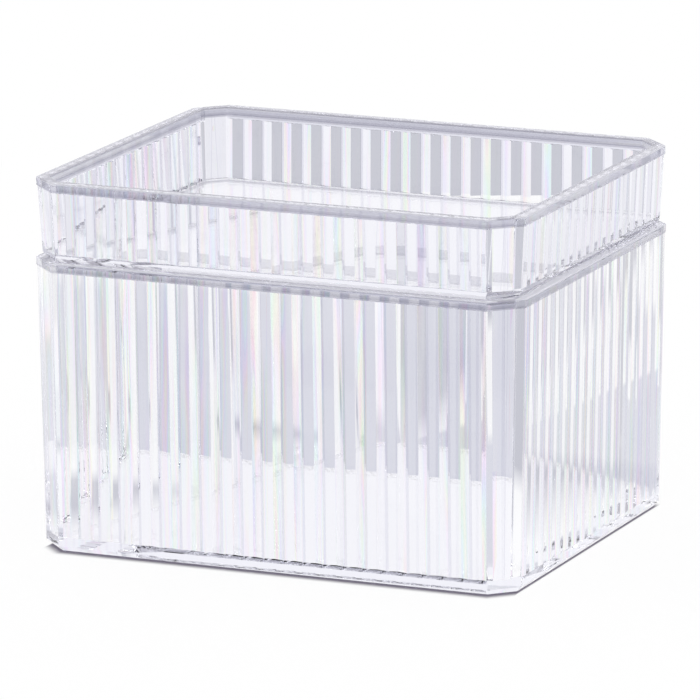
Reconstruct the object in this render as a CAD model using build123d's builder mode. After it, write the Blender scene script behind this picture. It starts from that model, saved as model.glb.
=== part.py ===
from build123d import *

import os
from math import sqrt

# Clear moulded storage box, closed by a shallow open tray that serves as its lid.
# Lengths are in millimetres. The origin is the middle of the underside, +Z is up,
# and the front faces -Y.

# Overall size, with the lid on
width = 112.0  # across both rims, left to right
depth = 93.0  # across both rims, front to back
box_height = 62.8  # from the table to the top of the box's rim
lid_height = 17.2  # from the top of the box's rim to the top of the lid's rim
corner_cut = 6.3  # leg of the slanting face at each upright corner
inner_corner_cut = 3.9  # leg of the same face inside the wall, at the rim

# Walls, the same in both mouldings
rim_wall = 3.0  # wall thickness at the rim
floor_wall = 2.7  # thickness of each floor
rim_band = 1.8  # height of the band that stands out round the rim
rim_step = 0.2  # how far that band stands out
outer_round = 0.3  # rounding of the outer edge of each rim
inner_round = 0.4  # rounding of the inner edge of each rim
upright_round = 0.6  # rounding of the upright edges
draft_share = 0.0167  # lean of the box's walls, outside and in, for each unit of height

# Ribs on the inner faces
rib_spacing = 4.73  # the whole number of ribs on a wall comes nearest to this spacing
rib_width = 4.4  # across a rib where it leaves the wall
rib_rise = 0.74  # how far a rib's crest stands into the box
rib_root = 1.2  # how deep a rib is rooted in its wall
crest_round = 0.15  # rounding along a rib's crest
plain_band = 2.4  # smooth height between the rim and the top of the ribs

# Undersides
box_bevel = 1.15  # slanting edge round the box's underside
lid_bevel = 0.95  # the same round the lid's underside
lid_taper = 0.9  # how far the lid's wall leans in, from its band down to its bevel

# How the lid sits on the box
foot_depth = 1.2  # how far the lid's foot drops into the mouth of the box
foot_clearance = 0.3  # gap all round between that foot and the mouth
lid_setback = 0.2  # how far the lid's rim is set in from the box's rim

lid_top = box_height + lid_height
foot_bottom = box_height - foot_depth
tray_floor = foot_bottom + floor_wall
leg_share = 2 - sqrt(2)  # a 45 degree leg shortens by this much of an even inset
quarter_turn = 90
side_count = 4


def plan(height, inset, corner=corner_cut, base_inset=0):
    """Outline at one height, with every face moved in evenly by the inset."""
    leg = corner - leg_share * (inset - base_inset)
    with BuildSketch(Plane.XY.offset(height)) as outline:
        Rectangle(width - 2 * inset, depth - 2 * inset)
        chamfer(outline.vertices(), length=leg)
        fillet(outline.vertices(), radius=upright_round)
    return outline.sketch


def inner_plan(height, inset):
    """Outline of the hollow at one height."""
    return plan(height, inset, corner=inner_corner_cut, base_inset=rim_wall)


def rib_bar(length):
    """Upright bar with two slanting faces that meet in a rounded crest, its root behind the XZ plane."""
    half = rib_width / 2
    with BuildPart() as bar:
        with BuildSketch() as section:
            with BuildLine():
                Polyline((-half, -rib_root), (half, -rib_root), (half, 0), (0, rib_rise), (-half, 0), close=True)
            make_face()
            fillet(section.vertices().sort_by(Axis.Y)[-1], radius=crest_round)
        extrude(amount=length)
    return bar.part


def rib_rows(floor_height, rim_height, rim_inset, lean):
    """Ribs for all four walls of one moulding, rooted in its wall and its floor."""
    root = floor_wall / 2
    floor_inset = rim_inset + lean
    tilt = lean / (rim_height - floor_height)
    bar = rib_bar(rim_height - plain_band - floor_height + root)
    rows = []
    for turn in range(side_count):
        across, reach = (width, depth) if turn % 2 == 0 else (depth, width)
        flat = across - 2 * corner_cut
        count = round(flat / rib_spacing)
        from_middle = reach / 2 - floor_inset - tilt * root
        wall = Plane.XY.rotated((0, 0, quarter_turn * turn))
        foot = Plane(
            origin=wall.from_local_coords((0, -from_middle, floor_height - root)),
            x_dir=wall.x_dir,
            z_dir=wall.from_local_coords((0, -tilt, 1)),
        )
        with BuildPart() as row:
            with Locations(foot):
                with GridLocations(flat / count, flat / count, count, 1):
                    add(bar)
        rows.append(row.part)
    return rows


# Deep box: bevelled underside, leaning walls, and a band round the rim
box_wall_height = box_height - rim_band
box_lean = draft_share * box_height
with BuildPart() as box_body:
    loft(
        [
            plan(0, rim_step + box_lean + box_bevel),
            plan(box_bevel, rim_step + box_lean),
            plan(box_wall_height, rim_step),
        ],
        ruled=True,
    )
    extrude(plan(box_wall_height, 0), amount=rim_band)
    loft([inner_plan(floor_wall, rim_wall + box_lean), inner_plan(box_height, rim_wall)], mode=Mode.SUBTRACT)
    rim_face = box_body.faces().sort_by(Axis.Z)[-1]
    fillet(rim_face.outer_wire().edges(), radius=outer_round)
    rim_face = box_body.faces().sort_by(Axis.Z)[-1]
    fillet(rim_face.inner_wires()[0].edges(), radius=inner_round)
    add(rib_rows(floor_wall, box_height, rim_wall, box_lean))
box_body.part.label = "box_body"

# Shallow tray: the same wall above the box's rim, with a foot that drops into the mouth
lid_wall_height = lid_top - rim_band
lid_lean = draft_share * lid_height
lid_wall_inset = lid_setback + rim_step
lid_inner_inset = lid_setback + rim_wall
with BuildPart() as lid_tray:
    loft(
        [
            plan(box_height, lid_wall_inset + lid_taper + lid_bevel),
            plan(box_height + lid_bevel, lid_wall_inset + lid_taper),
            plan(lid_wall_height, lid_wall_inset),
        ],
        ruled=True,
    )
    extrude(plan(lid_wall_height, lid_setback), amount=rim_band)
    extrude(inner_plan(foot_bottom, rim_wall + foot_clearance), amount=foot_depth)
    loft([inner_plan(tray_floor, lid_inner_inset + lid_lean), inner_plan(lid_top, lid_inner_inset)], mode=Mode.SUBTRACT)
    rim_face = lid_tray.faces().sort_by(Axis.Z)[-1]
    fillet(rim_face.outer_wire().edges(), radius=outer_round)
    rim_face = lid_tray.faces().sort_by(Axis.Z)[-1]
    fillet(rim_face.inner_wires()[0].edges(), radius=inner_round)
    add(rib_rows(tray_floor, lid_top, lid_inner_inset, lid_lean))
lid_tray.part.label = "lid_tray"

os.makedirs("parts", exist_ok=True)
export_step(box_body.part, "parts/box_body.step")
export_step(lid_tray.part, "parts/lid_tray.step")
print("box", box_body.part.bounding_box().size)
print("lid", lid_tray.part.bounding_box().size)
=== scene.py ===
"""Clear moulded storage box with its lift-off tray lid, on a white table in soft studio light."""

import logging
import math
from dataclasses import dataclass
from typing import Any

import bpy
from bpy.types import Material, NodeSocket, NodeTree
from mathutils import Matrix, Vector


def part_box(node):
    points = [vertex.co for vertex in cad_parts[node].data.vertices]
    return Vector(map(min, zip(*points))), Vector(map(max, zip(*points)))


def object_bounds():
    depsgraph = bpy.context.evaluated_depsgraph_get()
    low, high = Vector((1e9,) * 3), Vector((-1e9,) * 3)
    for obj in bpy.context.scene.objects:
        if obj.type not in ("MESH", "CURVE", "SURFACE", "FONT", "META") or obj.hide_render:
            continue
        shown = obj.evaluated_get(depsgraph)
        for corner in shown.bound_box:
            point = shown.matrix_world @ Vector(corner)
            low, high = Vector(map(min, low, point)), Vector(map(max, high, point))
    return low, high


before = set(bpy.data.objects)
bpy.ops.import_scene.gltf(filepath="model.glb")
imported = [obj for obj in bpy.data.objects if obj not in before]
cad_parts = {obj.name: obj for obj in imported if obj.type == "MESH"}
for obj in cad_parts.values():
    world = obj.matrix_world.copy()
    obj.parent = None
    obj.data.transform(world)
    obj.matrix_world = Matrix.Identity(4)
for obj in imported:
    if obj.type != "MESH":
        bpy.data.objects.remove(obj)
CAD_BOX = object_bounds()
LOG = logging.getLogger("clear_box")
MM = 0.001
WHITE = "#ffffff"

# How often light may turn, since clear ribs pass it on many times before it leaves
LIGHT_TURNS = 96

# Where a Mix node for colours has its two colours and its result
FIRST, SECOND, MIXED = 6, 7, 2

# The sRGB curve: a straight foot below the knee and a power curve above it
BYTE_TOP = 255
CURVE_KNEE = 0.04045
FOOT_SLOPE = 12.92
CURVE_SHIFT = 0.055
CURVE_POWER = 2.4


def linear(hex_colour: str) -> tuple[float, float, float, float]:
    """Turn an sRGB hex colour into linear light.

    Args:
        hex_colour: Six hex digits after a hash sign.

    Returns:
        Red, green, blue and an alpha of one.
    """
    parts = [int(hex_colour[i:i + 2], 16) / BYTE_TOP for i in (1, 3, 5)]
    light = [
        c / FOOT_SLOPE if c <= CURVE_KNEE else ((c + CURVE_SHIFT) / (1 + CURVE_SHIFT)) ** CURVE_POWER
        for c in parts
    ]
    return (*light, 1.0)


def add_node(tree: NodeTree, kind: str, links: dict[Any, Any] | None = None, **settings: Any) -> Any:
    """Add one node with its settings and its links.

    Args:
        tree: The tree that the node joins.
        kind: Blender's name for the kind of node.
        links: Input name or number to the socket that feeds it, or to a plain value.
        settings: Attributes of the node itself.

    Returns:
        The new node.
    """
    node = tree.nodes.new(kind)
    for name, value in settings.items():
        setattr(node, name, value)
    for name, value in (links or {}).items():
        if isinstance(value, NodeSocket):
            tree.links.new(value, node.inputs[name])
        else:
            node.inputs[name].default_value = value
    return node


@dataclass(frozen=True)
class WallShape:
    """Where the walls of one moulding stand, in metres.

    The lean is how far a wall's inner face moves in for each unit of height below the rim.
    """

    half_width: float
    half_depth: float
    rim_height: float
    lean_share: float
    wall: float = 3.0 * MM
    band: float = 1.95 * MM


@dataclass(frozen=True)
class ClearPolystyrene:
    """Injection-moulded clear polystyrene, polished off a steel tool.

    It bends light more than window glass does, so ribs and corners sparkle. The flat stretches between ribs
    carry a painted grey shade, the bands round the rims a darker painted shade, and the ribs painted weak
    rainbow tints of split white light. The rounded tops of the rims are a little milky, with a pale painted
    shade that is darker along their inner edge, so that the eye finds the edges. Light that stays caught
    inside is painted as a steady glow.
    """

    walls: WallShape
    name: str
    clear: str = "#fdfdff"
    ior: float = 1.59
    roughness: float = 0.0

    # The painted grey shade on the flat inner faces, and how exactly a point has to lie in one to count
    flat: str = "#e4e4ec"
    flat_edge: float = 0.08 * MM
    flat_sure_share: float = 0.5

    # The ribs, which stand less than this inside the flat faces. A painted rainbow tint of split light is
    # about half a rib wide and as tall as the box's wall
    rib_reach: float = 0.85 * MM
    streak_width: float = 2.4 * MM
    streak_height: float = 60.0 * MM
    streak_detail: float = 1.0
    streak_hues: float = 4.0
    streak_start: tuple[float, float] = (0.42, 0.62)
    streak_depth: float = 0.26

    # The band round the rim, with its painted darker shade and the painted dark line of shade at its foot
    band: str = "#cfcfd8"
    band_edge: float = 0.15 * MM
    # Painted dark line of shade where the band steps back to the wall
    band_foot_shade: str = "#aeadb9"
    band_line_height: float = 0.45 * MM

    # The milky top of the rim, with a pale painted shade and a darker painted shade along its inner edge
    rim_top_height: float = 0.30 * MM
    rim_milk: float = 0.6
    rim_top_shade: str = "#d9d9e1"
    rim_edge_shade: str = "#aeadb8"
    rim_edge_width: float = 1.2 * MM

    # The painted glow, and after how many turns it counts
    caught_turns: float = 30.0
    caught_margin: float = 0.5
    caught_light: float = 0.8

    def build(self) -> Material:
        """Make the material.

        Returns:
            The finished material.
        """
        material = bpy.data.materials.new(self.name)
        material.use_nodes = True
        tree = material.node_tree
        tree.nodes.clear()
        place = add_node(tree, "ShaderNodeTexCoord").outputs["Object"]
        axes = add_node(tree, "ShaderNodeSeparateXYZ", {0: place}).outputs
        top = self.rim_top(tree, axes)
        clarity = add_node(tree, "ShaderNodeMapRange", {
            "Value": top, "To Min": 1.0, "To Max": 1.0 - self.rim_milk,
        })
        shader = add_node(tree, "ShaderNodeBsdfPrincipled", {
            "Base Color": self.colour(tree, place, axes, top),
            "Roughness": self.roughness,
            "IOR": self.ior,
            "Transmission Weight": clarity.outputs[0],
            "Emission Strength": self.painted_glow(tree),
        })
        add_node(tree, "ShaderNodeOutputMaterial", {"Surface": shader.outputs[0]})
        return material

    def colour(self, tree: NodeTree, place: NodeSocket, axes: Any, top: NodeSocket) -> NodeSocket:
        """Lay the greys of the flats, bands and rims and the tints of the ribs over the clear body.

        Args:
            tree: The material's tree.
            place: The place on the object, in metres.
            axes: The place's three parts.
            top: One on the top of the rim and zero below.

        Returns:
            The plastic's colour.
        """
        proud = self.proud_of_wall(tree, axes)
        # Painted shades on the flats, band, band foot and rim top, and painted rainbow tints on the ribs
        layers = (
            (self.flat_shade_mask(tree, proud), linear(self.flat)),
            (self.rib_mask(tree, proud), self.streaks(tree, place)),
            (self.band_shade_mask(tree, axes), linear(self.band)),
            (self.band_foot_shade_mask(tree, axes), linear(self.band_foot_shade)),
            (top, self.rim_painted_shades(tree, proud)),
        )
        colour = linear(self.clear)
        for mask, layer in layers:
            colour = add_node(tree, "ShaderNodeMix", {0: mask, FIRST: colour, SECOND: layer},
                              data_type="RGBA").outputs[MIXED]
        return colour

    def painted_glow(self, tree: NodeTree) -> NodeSocket:
        """Paint a glow of light on what a ray meets on one late turn, in place of the many turns after it.

        Args:
            tree: The material's tree.

        Returns:
            The strength of the glow, which is zero on every other turn.
        """
        turns = add_node(tree, "ShaderNodeLightPath").outputs["Ray Depth"]
        caught = add_node(tree, "ShaderNodeMath", {0: turns, 1: self.caught_turns, 2: self.caught_margin},
                          operation="COMPARE")
        return add_node(tree, "ShaderNodeMath", {0: caught.outputs[0], 1: self.caught_light},
                        operation="MULTIPLY").outputs[0]

    def proud_of_wall(self, tree: NodeTree, axes: Any) -> NodeSocket:
        """Measure how far a point lies outwards from the flat inner face of its wall.

        Args:
            tree: The material's tree.
            axes: The place's three parts, in metres.

        Returns:
            A length in metres: zero on the flat inner faces, below zero on the ribs.
        """
        shape = self.walls
        below_rim = add_node(tree, "ShaderNodeMath", {0: shape.rim_height, 1: axes[2]}, operation="SUBTRACT")
        inset = add_node(tree, "ShaderNodeMath", {
            0: below_rim.outputs[0], 1: shape.lean_share, 2: shape.wall,
        }, operation="MULTIPLY_ADD")
        proud = []
        for axis, half in ((0, shape.half_width), (1, shape.half_depth)):
            reach = add_node(tree, "ShaderNodeMath", {0: axes[axis]}, operation="ABSOLUTE")
            outer = add_node(tree, "ShaderNodeMath", {0: reach.outputs[0], 1: half}, operation="SUBTRACT")
            proud.append(add_node(tree, "ShaderNodeMath", {0: outer.outputs[0], 1: inset.outputs[0]},
                                  operation="ADD").outputs[0])
        return add_node(tree, "ShaderNodeMath", {0: proud[0], 1: proud[1]}, operation="MAXIMUM").outputs[0]

    def flat_shade_mask(self, tree: NodeTree, proud: NodeSocket) -> NodeSocket:
        """Find the flat inner faces between the ribs, which get the painted grey shade.

        Args:
            tree: The material's tree.
            proud: How far a point lies outwards from the flat inner face, in metres.

        Returns:
            One on those faces and zero elsewhere.
        """
        off = add_node(tree, "ShaderNodeMath", {0: proud}, operation="ABSOLUTE")
        return add_node(tree, "ShaderNodeMapRange", {
            "Value": off.outputs[0], "From Min": self.flat_sure_share * self.flat_edge,
            "From Max": self.flat_edge, "To Min": 1.0, "To Max": 0.0,
        }).outputs[0]

    def rib_mask(self, tree: NodeTree, proud: NodeSocket) -> NodeSocket:
        """Find the slanting faces of the ribs.

        Args:
            tree: The material's tree.
            proud: How far a point lies outwards from the flat inner face, in metres.

        Returns:
            One on the ribs and zero elsewhere.
        """
        rise = add_node(tree, "ShaderNodeMapRange", {
            "Value": proud, "From Min": -self.flat_sure_share * self.flat_edge, "From Max": -self.flat_edge,
        })
        fall = add_node(tree, "ShaderNodeMath", {0: proud, 1: -self.rib_reach}, operation="GREATER_THAN")
        return add_node(tree, "ShaderNodeMath", {0: rise.outputs[0], 1: fall.outputs[0]},
                        operation="MULTIPLY").outputs[0]

    def streaks(self, tree: NodeTree, place: NodeSocket) -> NodeSocket:
        """Paint the faint upright rainbow streaks of light that the ribs split from white light.

        Args:
            tree: The material's tree.
            place: The place on the object, in metres.

        Returns:
            The ribs' colour.
        """
        across, along = 1 / self.streak_width, 1 / self.streak_height
        drawn = add_node(tree, "ShaderNodeVectorMath", {0: place, 1: (across, across, along)},
                         operation="MULTIPLY")
        noise = add_node(tree, "ShaderNodeTexNoise", {
            "Vector": drawn.outputs[0], "Scale": 1.0, "Detail": self.streak_detail,
        })
        parts = add_node(tree, "ShaderNodeSeparateColor", {0: noise.outputs["Color"]}).outputs
        hues = add_node(tree, "ShaderNodeMath", {0: parts[0], 1: self.streak_hues}, operation="MULTIPLY")
        hue = add_node(tree, "ShaderNodeMath", {0: hues.outputs[0]}, operation="FRACT")
        strength = add_node(tree, "ShaderNodeMapRange", {
            "Value": parts[1], "From Min": self.streak_start[0], "From Max": self.streak_start[1],
            "To Min": 0.0, "To Max": self.streak_depth,
        })
        kept = add_node(tree, "ShaderNodeMath", {0: strength.outputs[0], 1: self.right_facets(tree)},
                        operation="MULTIPLY")
        return add_node(tree, "ShaderNodeCombineColor", {0: hue.outputs[0], 1: kept.outputs[0], 2: 1.0},
                        mode="HSV").outputs[0]

    def right_facets(self, tree: NodeTree) -> NodeSocket:
        """Find the slanting faces on the right of each rib, as seen from outside its wall.

        Args:
            tree: The material's tree.

        Returns:
            One on those faces and zero on the others.
        """
        normal = add_node(tree, "ShaderNodeTexCoord").outputs["Normal"]
        axes = add_node(tree, "ShaderNodeSeparateXYZ", {0: normal}).outputs
        across = add_node(tree, "ShaderNodeMath", {0: axes[0]}, operation="ABSOLUTE")
        along = add_node(tree, "ShaderNodeMath", {0: axes[1]}, operation="ABSOLUTE")
        long_wall = add_node(tree, "ShaderNodeMath", {0: along.outputs[0], 1: across.outputs[0]},
                             operation="SUBTRACT")
        lean = add_node(tree, "ShaderNodeMath", {0: axes[0], 1: axes[1]}, operation="MULTIPLY")
        side = add_node(tree, "ShaderNodeMath", {0: lean.outputs[0], 1: long_wall.outputs[0]},
                        operation="MULTIPLY")
        return add_node(tree, "ShaderNodeMath", {0: side.outputs[0], 1: 0.0},
                        operation="GREATER_THAN").outputs[0]

    def band_shade_mask(self, tree: NodeTree, axes: Any) -> NodeSocket:
        """Find the smooth band round the rim, below its rounded top, which gets a painted darker shade.

        Args:
            tree: The material's tree.
            axes: The place's three parts, in metres.

        Returns:
            One on the band and zero above and below it.
        """
        lower = self.walls.rim_height - self.walls.band
        upper = self.walls.rim_height - self.rim_top_height
        return self.level_mask(tree, axes, lower, upper)

    def band_foot_shade_mask(self, tree: NodeTree, axes: Any) -> NodeSocket:
        """Find the painted dark line of shade along the lower edge of the band, where it steps back to the
        wall.

        Args:
            tree: The material's tree.
            axes: The place's three parts, in metres.

        Returns:
            One on that line and zero elsewhere.
        """
        lower = self.walls.rim_height - self.walls.band
        return self.level_mask(tree, axes, lower, lower + self.band_line_height)

    def level_mask(self, tree: NodeTree, axes: Any, lower: float, upper: float) -> NodeSocket:
        """Find what lies between two heights, with a soft edge outside each.

        Args:
            tree: The material's tree.
            axes: The place's three parts, in metres.
            lower: The lower height, in metres.
            upper: The upper height, in metres.

        Returns:
            One between the heights and zero elsewhere.
        """
        above = add_node(tree, "ShaderNodeMapRange", {
            "Value": axes[2], "From Min": lower - self.band_edge, "From Max": lower,
        })
        below = add_node(tree, "ShaderNodeMapRange", {
            "Value": axes[2], "From Min": upper, "From Max": upper + self.band_edge,
            "To Min": 1.0, "To Max": 0.0,
        })
        return add_node(tree, "ShaderNodeMath", {0: above.outputs[0], 1: below.outputs[0]},
                        operation="MULTIPLY").outputs[0]

    def rim_top(self, tree: NodeTree, axes: Any) -> NodeSocket:
        """Find the top of the rim with its two rounded edges.

        Args:
            tree: The material's tree.
            axes: The place's three parts, in metres.

        Returns:
            One there and zero below.
        """
        start = self.walls.rim_height - self.rim_top_height
        return add_node(tree, "ShaderNodeMapRange", {
            "Value": axes[2], "From Min": start, "From Max": start + self.flat_edge,
        }).outputs[0]

    def rim_painted_shades(self, tree: NodeTree, proud: NodeSocket) -> NodeSocket:
        """Paint the pale grey shade on the top of the rim, with a darker painted shade along its inner edge.

        Args:
            tree: The material's tree.
            proud: How far a point lies outwards from the flat inner face, in metres.

        Returns:
            The rim's colour.
        """
        edge = add_node(tree, "ShaderNodeMath", {0: proud, 1: self.rim_edge_width}, operation="LESS_THAN")
        return add_node(tree, "ShaderNodeMix", {
            0: edge.outputs[0], FIRST: linear(self.rim_top_shade), SECOND: linear(self.rim_edge_shade),
        }, data_type="RGBA").outputs[MIXED]


@dataclass
class Moulding:
    """One clear moulding, taken from model.glb as it is."""

    node: str
    finish_name: str
    lean_share: float

    def walls(self) -> WallShape:
        """Read where this moulding's walls stand from its own box.

        Returns:
            The shape of its walls.
        """
        half_width, half_depth, rim_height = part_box(self.node)[1]
        return WallShape(half_width, half_depth, rim_height, self.lean_share)

    def build(self) -> None:
        """Give the moulding its finish."""
        finish = ClearPolystyrene(self.walls(), self.finish_name).build()
        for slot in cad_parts[self.node].material_slots:
            slot.material = finish
        LOG.info("dressed %s", self.node)


@dataclass
class DeepBox(Moulding):
    """Deep box, the lower of the two mouldings."""

    node: str = "box_body"
    finish_name: str = "clear_polystyrene_box"
    lean_share: float = 0.01745


@dataclass
class TrayLid(Moulding):
    """Shallow open tray that stands in the mouth of the box and lifts off."""

    node: str = "lid_tray"
    finish_name: str = "clear_polystyrene_tray"
    lean_share: float = 0.01830


@dataclass(frozen=True)
class TableShade:
    """Painted soft shade that lies on the table behind the box and before it, in metres.

    Ribbed plastic shows the table from far aside, so the greys of its ribs come from here. Each patch lies
    behind the box and again before it, turned half round. Away is the distance from the box's long middle
    line, and aside is the distance to the right of the other one, seen from the box.
    """

    # The two greys of the painted shade
    grey: str = "#d7d8e2"
    deep_grey: str = "#c5c6cf"

    # How far away the shade starts and ends
    start: tuple[float, float] = (0.044, 0.052)
    end: tuple[float, float] = (0.226, 0.248)

    # The two lines that bound it at its sides
    side_slope: float = 0.5
    side_start: float = 0.020
    side_soft: float = 0.006

    # The bright wedge on the left, and the deeper shade beside it
    wedge_slope: float = 0.253
    wedge_start: float = 0.048
    wedge_soft: float = 0.004
    corner_slope: float = 0.78
    corner_start: float = 0.004
    corner_soft: float = 0.008

    # The deeper shade on the right, and the strip of light across it
    right_start: tuple[float, float] = (0.060, 0.080)
    right_slope: float = 0.3
    right_away: float = -0.024
    lit_aside: tuple[float, float] = (0.060, 0.070)
    lit_away: tuple[float, float] = (0.066, 0.076)
    lit_slope: float = 0.5
    lit_end: tuple[float, float] = (0.067, 0.077)
    lit_shade: float = 0.08

    def colour(self, tree: NodeTree) -> NodeSocket:
        """Join the patches of shade.

        Args:
            tree: The table material's tree.

        Returns:
            The table's colour.
        """
        place = add_node(tree, "ShaderNodeNewGeometry").outputs["Position"]
        axes = add_node(tree, "ShaderNodeSeparateXYZ", {0: place}).outputs
        turned = add_node(tree, "ShaderNodeMath", {0: axes[1]}, operation="SIGN").outputs[0]
        away = add_node(tree, "ShaderNodeMath", {0: axes[1]}, operation="ABSOLUTE").outputs[0]
        aside = add_node(tree, "ShaderNodeMath", {0: axes[0], 1: turned}, operation="MULTIPLY").outputs[0]
        right = self.right_hand(tree, aside, away)
        deep = add_node(tree, "ShaderNodeMath", {0: self.corner(tree, aside, away), 1: right},
                        operation="MAXIMUM").outputs[0]
        shade = add_node(tree, "ShaderNodeMath", {0: self.beside_wedge(tree, aside, away), 1: deep},
                         operation="MAXIMUM").outputs[0]
        near = add_node(tree, "ShaderNodeMapRange", {
            "Value": away, "From Min": self.start[0], "From Max": self.start[1],
        }).outputs[0]
        far = add_node(tree, "ShaderNodeMapRange", {
            "Value": away, "From Min": self.end[0], "From Max": self.end[1], "To Min": 1.0, "To Max": 0.0,
        }).outputs[0]
        steps = (
            (self.sides(tree, aside, away), "MULTIPLY"),
            (near, "MULTIPLY"),
            (right, "MAXIMUM"),
            (self.unlit(tree, aside, away), "MULTIPLY"),
            (far, "MULTIPLY"),
        )
        for patch, operation in steps:
            shade = add_node(tree, "ShaderNodeMath", {0: shade, 1: patch}, operation=operation).outputs[0]
        greys = add_node(tree, "ShaderNodeMix", {
            0: deep, FIRST: linear(self.grey), SECOND: linear(self.deep_grey),
        }, data_type="RGBA").outputs[MIXED]
        return add_node(tree, "ShaderNodeMix", {0: shade, FIRST: linear(WHITE), SECOND: greys},
                        data_type="RGBA").outputs[MIXED]

    def sides(self, tree: NodeTree, aside: NodeSocket, away: NodeSocket) -> NodeSocket:
        """Bound the shade on both sides by lines that spread from the box.

        Args:
            tree: The table material's tree.
            aside: Metres to the right of the middle.
            away: Metres away from the middle.

        Returns:
            One between the two lines and zero outside.
        """
        wide = add_node(tree, "ShaderNodeMath", {0: aside}, operation="ABSOLUTE")
        edge = add_node(tree, "ShaderNodeMath", {0: wide.outputs[0], 1: -self.side_slope, 2: away},
                        operation="MULTIPLY_ADD")
        return add_node(tree, "ShaderNodeMapRange", {
            "Value": edge.outputs[0], "From Min": self.side_start - self.side_soft,
            "From Max": self.side_start + self.side_soft,
        }).outputs[0]

    def beside_wedge(self, tree: NodeTree, aside: NodeSocket, away: NodeSocket) -> NodeSocket:
        """Leave out the bright wedge on the left, which the ribs of a side wall throw there.

        Args:
            tree: The table material's tree.
            aside: Metres to the right of the middle.
            away: Metres away from the middle.

        Returns:
            One to the right of the wedge's edge and zero to the left.
        """
        across = add_node(tree, "ShaderNodeMath", {0: away, 1: self.wedge_slope, 2: aside},
                          operation="MULTIPLY_ADD")
        return add_node(tree, "ShaderNodeMapRange", {
            "Value": across.outputs[0], "From Min": -self.wedge_start,
            "From Max": self.wedge_soft - self.wedge_start,
        }).outputs[0]

    def corner(self, tree: NodeTree, aside: NodeSocket, away: NodeSocket) -> NodeSocket:
        """Bound the deeper shade beside the wedge, off the box's left corner.

        Args:
            tree: The table material's tree.
            aside: Metres to the right of the middle.
            away: Metres away from the middle.

        Returns:
            One in the deeper shade and zero elsewhere.
        """
        reach = add_node(tree, "ShaderNodeMath", {0: aside, 1: self.corner_slope, 2: away},
                         operation="MULTIPLY_ADD")
        return add_node(tree, "ShaderNodeMapRange", {
            "Value": reach.outputs[0], "From Min": self.corner_start,
            "From Max": self.corner_start + self.corner_soft, "To Min": 1.0, "To Max": 0.0,
        }).outputs[0]

    def right_hand(self, tree: NodeTree, aside: NodeSocket, away: NodeSocket) -> NodeSocket:
        """Bound the deeper shade beside the box on the right.

        Args:
            tree: The table material's tree.
            aside: Metres to the right of the middle.
            away: Metres away from the middle.

        Returns:
            One in that shade and zero elsewhere.
        """
        beside = add_node(tree, "ShaderNodeMapRange", {
            "Value": aside, "From Min": self.right_start[0], "From Max": self.right_start[1],
        })
        slant = add_node(tree, "ShaderNodeMath", {0: aside, 1: -self.right_slope, 2: away},
                         operation="MULTIPLY_ADD")
        behind = add_node(tree, "ShaderNodeMapRange", {
            "Value": slant.outputs[0], "From Min": self.right_away,
            "From Max": self.right_away + self.corner_soft,
        })
        return add_node(tree, "ShaderNodeMath", {0: beside.outputs[0], 1: behind.outputs[0]},
                        operation="MULTIPLY").outputs[0]

    def unlit(self, tree: NodeTree, aside: NodeSocket, away: NodeSocket) -> NodeSocket:
        """Let a strip of light through the shade on the right, which the side wall's bright bars show.

        Args:
            tree: The table material's tree.
            aside: Metres to the right of the middle.
            away: Metres away from the middle.

        Returns:
            The share of shade that is left: little in the strip and one elsewhere.
        """
        strip = add_node(tree, "ShaderNodeMapRange", {
            "Value": aside, "From Min": self.lit_aside[0], "From Max": self.lit_aside[1],
        }).outputs[0]
        outward = add_node(tree, "ShaderNodeMath", {0: away, 1: -self.lit_slope, 2: aside},
                           operation="MULTIPLY_ADD")
        inward = add_node(tree, "ShaderNodeMapRange", {
            "Value": outward.outputs[0], "From Min": self.lit_end[0], "From Max": self.lit_end[1],
            "To Min": 1.0, "To Max": 0.0,
        }).outputs[0]
        behind = add_node(tree, "ShaderNodeMapRange", {
            "Value": away, "From Min": self.lit_away[0], "From Max": self.lit_away[1],
        }).outputs[0]
        for bound in (inward, behind):
            strip = add_node(tree, "ShaderNodeMath", {0: strip, 1: bound}, operation="MULTIPLY").outputs[0]
        return add_node(tree, "ShaderNodeMapRange", {
            "Value": strip, "To Min": 1.0, "To Max": self.lit_shade,
        }).outputs[0]


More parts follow.
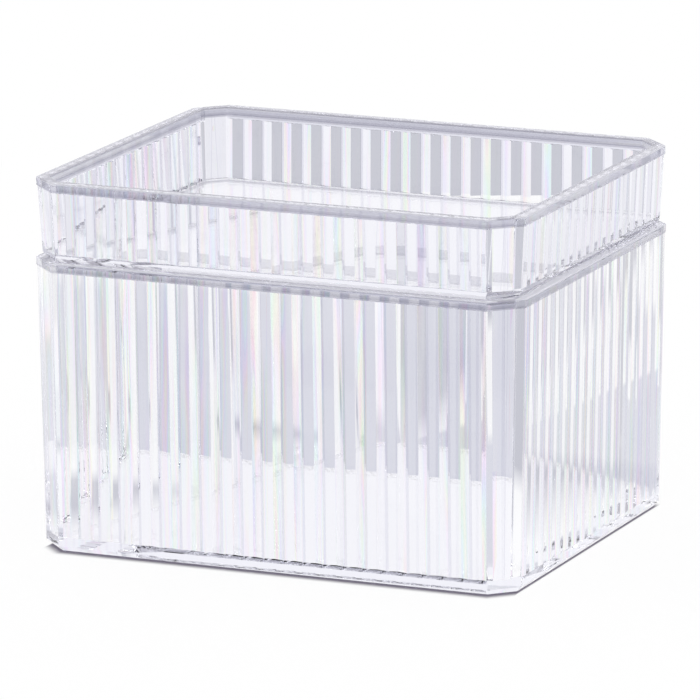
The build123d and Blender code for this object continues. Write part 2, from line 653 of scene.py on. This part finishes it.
@dataclass(frozen=True)
class ContactShadow:
    """Painted contact shadow: a thin dark line where the foot of the box meets the table, in metres."""

    # Colour of the painted contact shadow
    dark: str = "#6a6474"
    foot_inset: float = 2.4 * MM
    foot_corner: float = 4.9 * MM
    reach: float = 3.0 * MM
    side_sharpness: float = 5.0
    diagonal_share: float = math.sqrt(0.5)

    def mask(self, tree: NodeTree) -> NodeSocket:
        """Measure the distance from the foot for the painted contact shadow, which counts for more beside
        the short walls.

        Args:
            tree: The table material's tree.

        Returns:
            One at the foot of the box, fading to zero beside it.
        """
        half_width, half_depth = (half - self.foot_inset for half in CAD_BOX[1][:2])
        place = add_node(tree, "ShaderNodeNewGeometry").outputs["Position"]
        reach = add_node(tree, "ShaderNodeVectorMath", {0: place}, operation="ABSOLUTE")
        axes = add_node(tree, "ShaderNodeSeparateXYZ", {0: reach.outputs[0]}).outputs
        beside = add_node(tree, "ShaderNodeMath", {0: axes[0], 1: half_width}, operation="SUBTRACT")
        before = add_node(tree, "ShaderNodeMath", {0: axes[1], 1: half_depth}, operation="SUBTRACT")
        both = add_node(tree, "ShaderNodeMath", {0: beside.outputs[0], 1: before.outputs[0]},
                        operation="ADD")
        corner = add_node(tree, "ShaderNodeMath", {0: both.outputs[0], 1: self.foot_corner}, operation="ADD")
        slant = add_node(tree, "ShaderNodeMath", {0: corner.outputs[0], 1: self.diagonal_share},
                         operation="MULTIPLY")
        side = add_node(tree, "ShaderNodeMath", {0: beside.outputs[0], 1: self.side_sharpness},
                        operation="MULTIPLY")
        straight = add_node(tree, "ShaderNodeMath", {0: side.outputs[0], 1: before.outputs[0]},
                            operation="MAXIMUM")
        away = add_node(tree, "ShaderNodeMath", {0: straight.outputs[0], 1: slant.outputs[0]},
                        operation="MAXIMUM")
        return add_node(tree, "ShaderNodeMapRange", {
            "Value": away.outputs[0], "From Min": 0.0, "From Max": self.reach, "To Min": 1.0, "To Max": 0.0,
        }, interpolation_type="SMOOTHSTEP").outputs[0]


@dataclass(frozen=True)
class WhiteLaminate:
    """White laminate, pressed smooth: a plain, even ground that takes a soft shadow.

    Seen directly it is white but for the painted contact shadow. What the plastic shows of it has the
    painted soft shade too.
    """

    name: str = "table_white_laminate"
    glow: float = 0.92
    shade: TableShade = TableShade()
    contact: ContactShadow = ContactShadow()

    def build(self) -> Material:
        """Make the material.

        Returns:
            The finished material.
        """
        material = bpy.data.materials.new(self.name)
        material.use_nodes = True
        tree = material.node_tree
        tree.nodes.clear()
        path = add_node(tree, "ShaderNodeLightPath").outputs
        direct = path["Is Camera Ray"]
        seen = direct
        for kind in ("Is Glossy Ray", "Is Transmission Ray"):
            seen = add_node(tree, "ShaderNodeMath", {0: seen, 1: path[kind]},
                            operation="MAXIMUM").outputs[0]
        level = add_node(tree, "ShaderNodeMapRange", {"Value": direct, "To Min": 1.0, "To Max": self.glow})
        glow = add_node(tree, "ShaderNodeMath", {0: seen, 1: level.outputs[0]}, operation="MULTIPLY")
        through = add_node(tree, "ShaderNodeMath", {0: 1.0, 1: direct}, operation="SUBTRACT")
        # Painted soft shade, which only rays through the plastic see
        shaded = add_node(tree, "ShaderNodeMix", {
            0: through.outputs[0], FIRST: linear(WHITE), SECOND: self.shade.colour(tree),
        }, data_type="RGBA")
        # Painted contact shadow, which only the camera sees
        painted_shadow = add_node(tree, "ShaderNodeMath", {0: self.contact.mask(tree), 1: direct},
                         operation="MULTIPLY")
        tone = add_node(tree, "ShaderNodeMix", {
            0: painted_shadow.outputs[0], FIRST: shaded.outputs[MIXED], SECOND: linear(self.contact.dark),
        }, data_type="RGBA")
        diffuse = add_node(tree, "ShaderNodeBsdfDiffuse", {"Color": linear(WHITE)})
        bright = add_node(tree, "ShaderNodeEmission", {"Color": tone.outputs[MIXED], "Strength": 1.0})
        mixed = add_node(tree, "ShaderNodeMixShader", {
            0: glow.outputs[0], 1: diffuse.outputs[0], 2: bright.outputs[0],
        })
        add_node(tree, "ShaderNodeOutputMaterial", {"Surface": mixed.outputs[0]})
        return material


@dataclass
class Table:
    """Round table top just under the box, which keeps the object's shadow."""

    radius: float = 0.40
    gap: float = 0.3 * MM
    sides: int = 96
    finish: WhiteLaminate = WhiteLaminate()

    def build(self) -> None:
        """Lay the table and dress it."""
        turn = 2 * math.pi / self.sides
        ring = [(self.radius * math.cos(turn * i), self.radius * math.sin(turn * i), -self.gap)
                for i in range(self.sides)]
        mesh = bpy.data.meshes.new("table_top")
        mesh.from_pydata(ring, [], [tuple(range(self.sides))])
        table = bpy.data.objects.new("table_top", mesh)
        bpy.context.scene.collection.objects.link(table)
        mesh.materials.append(self.finish.build())
        LOG.info("laid %s", table.name)


@dataclass
class Room:
    """White room, plain to the camera, that fills the plastic with soft light.

    The plastic shows it greyer below the horizon and between the four sides, and darker in a ring high up.
    """

    name: str = "studio"
    white: str = "#f6f6fc"
    grey: str = "#c6c7d0"
    between: tuple[float, float] = (0.38, 0.68)
    low_rise: tuple[float, float] = (-0.12, 0.0)
    dark: str = "#b3b1bc"
    ring_low: tuple[float, float] = (0.40, 0.50)
    ring_high: tuple[float, float] = (0.80, 0.88)

    def build(self) -> None:
        """Make the room the scene's world."""
        world = bpy.data.worlds.new(self.name)
        world.use_nodes = True
        world.cycles.sampling_method = "NONE"
        tree = world.node_tree
        tree.nodes.clear()
        way = add_node(tree, "ShaderNodeTexCoord").outputs["Generated"]
        rise = add_node(tree, "ShaderNodeSeparateXYZ", {0: way}).outputs[2]
        low = add_node(tree, "ShaderNodeMix", {
            0: self.low_field(tree, way, rise), FIRST: linear(self.white), SECOND: linear(self.grey),
        }, data_type="RGBA")
        ringed = add_node(tree, "ShaderNodeMix", {
            0: self.high_ring(tree, rise), FIRST: low.outputs[MIXED], SECOND: linear(self.dark),
        }, data_type="RGBA")
        path = add_node(tree, "ShaderNodeLightPath").outputs
        plain = add_node(tree, "ShaderNodeMath", {0: path["Is Camera Ray"], 1: path["Is Diffuse Ray"]},
                         operation="MAXIMUM")
        colour = add_node(tree, "ShaderNodeMix", {
            0: plain.outputs[0], FIRST: ringed.outputs[MIXED], SECOND: linear(WHITE),
        }, data_type="RGBA")
        light = add_node(tree, "ShaderNodeBackground", {"Color": colour.outputs[MIXED], "Strength": 1.0})
        add_node(tree, "ShaderNodeOutputWorld", {"Surface": light.outputs[0]})
        bpy.context.scene.world = world
        LOG.info("lit %s", world.name)

    def low_field(self, tree: NodeTree, way: NodeSocket, rise: NodeSocket) -> NodeSocket:
        """Find the directions that point below the horizon and between two sides of the box.

        Args:
            tree: The world's tree.
            way: The direction.
            rise: The direction's upward part.

        Returns:
            One in those directions and zero in the others.
        """
        reach = add_node(tree, "ShaderNodeVectorMath", {0: way}, operation="ABSOLUTE")
        axes = add_node(tree, "ShaderNodeSeparateXYZ", {0: reach.outputs[0]}).outputs
        less = add_node(tree, "ShaderNodeMath", {0: axes[0], 1: axes[1]}, operation="MINIMUM")
        more = add_node(tree, "ShaderNodeMath", {0: axes[0], 1: axes[1]}, operation="MAXIMUM")
        slant = add_node(tree, "ShaderNodeMath", {0: less.outputs[0], 1: more.outputs[0]},
                         operation="DIVIDE")
        field = add_node(tree, "ShaderNodeMapRange", {
            "Value": slant.outputs[0], "From Min": self.between[0], "From Max": self.between[1],
        })
        low = add_node(tree, "ShaderNodeMapRange", {
            "Value": rise, "From Min": self.low_rise[0], "From Max": self.low_rise[1],
            "To Min": 1.0, "To Max": 0.0,
        })
        return add_node(tree, "ShaderNodeMath", {0: field.outputs[0], 1: low.outputs[0]},
                        operation="MULTIPLY").outputs[0]

    def high_ring(self, tree: NodeTree, rise: NodeSocket) -> NodeSocket:
        """Find the directions that lie in a ring high up.

        Args:
            tree: The world's tree.
            rise: The direction's upward part.

        Returns:
            One in those directions and zero in the others.
        """
        lower = add_node(tree, "ShaderNodeMapRange", {
            "Value": rise, "From Min": self.ring_low[0], "From Max": self.ring_low[1],
        })
        upper = add_node(tree, "ShaderNodeMapRange", {
            "Value": rise, "From Min": self.ring_high[0], "From Max": self.ring_high[1],
            "To Min": 1.0, "To Max": 0.0,
        })
        return add_node(tree, "ShaderNodeMath", {0: lower.outputs[0], 1: upper.outputs[0]},
                        operation="MULTIPLY").outputs[0]


@dataclass
class LongLens:
    """Camera at the photograph's angle, with the long lens that its straight lines call for."""

    place: tuple[float, float, float] = (0.64346, -1.49438, 0.41279)
    yaw: float = 23.329
    pitch: float = 12.954
    roll: float = -0.285
    focal_px: float = 7790.6
    image_px: float = 700.0
    sensor_mm: float = 36.0
    sight: float = 20.0

    def build(self) -> None:
        """Place the camera and use it."""
        data = bpy.data.cameras.new("camera")
        data.sensor_width = self.sensor_mm
        data.lens = self.focal_px / self.image_px * self.sensor_mm
        data.clip_end = self.sight
        camera = bpy.data.objects.new("camera", data)
        bpy.context.scene.collection.objects.link(camera)
        yaw, pitch, roll = (math.radians(angle) for angle in (self.yaw, self.pitch, self.roll))
        level = Matrix.Rotation(yaw, 3, "Z") @ Matrix.Rotation(math.pi / 2 - pitch, 3, "X")
        turn = level @ Matrix.Rotation(roll, 3, "Z")
        camera.matrix_world = Matrix.Translation(self.place) @ turn.to_4x4()
        bpy.context.scene.camera = camera
        LOG.info("placed %s", camera.name)


def main() -> None:
    """Build everything in order."""
    logging.basicConfig(level=logging.INFO)
    scene = bpy.context.scene
    scene.view_settings.view_transform = "Standard"
    scene.cycles.max_bounces = LIGHT_TURNS
    scene.cycles.transmission_bounces = LIGHT_TURNS
    scene.cycles.glossy_bounces = LIGHT_TURNS
    scene.cycles.blur_glossy = 0.0
    for part in (DeepBox(), TrayLid(), Table(), Room(), LongLens()):
        part.build()


if __name__ == "__main__":
    main()
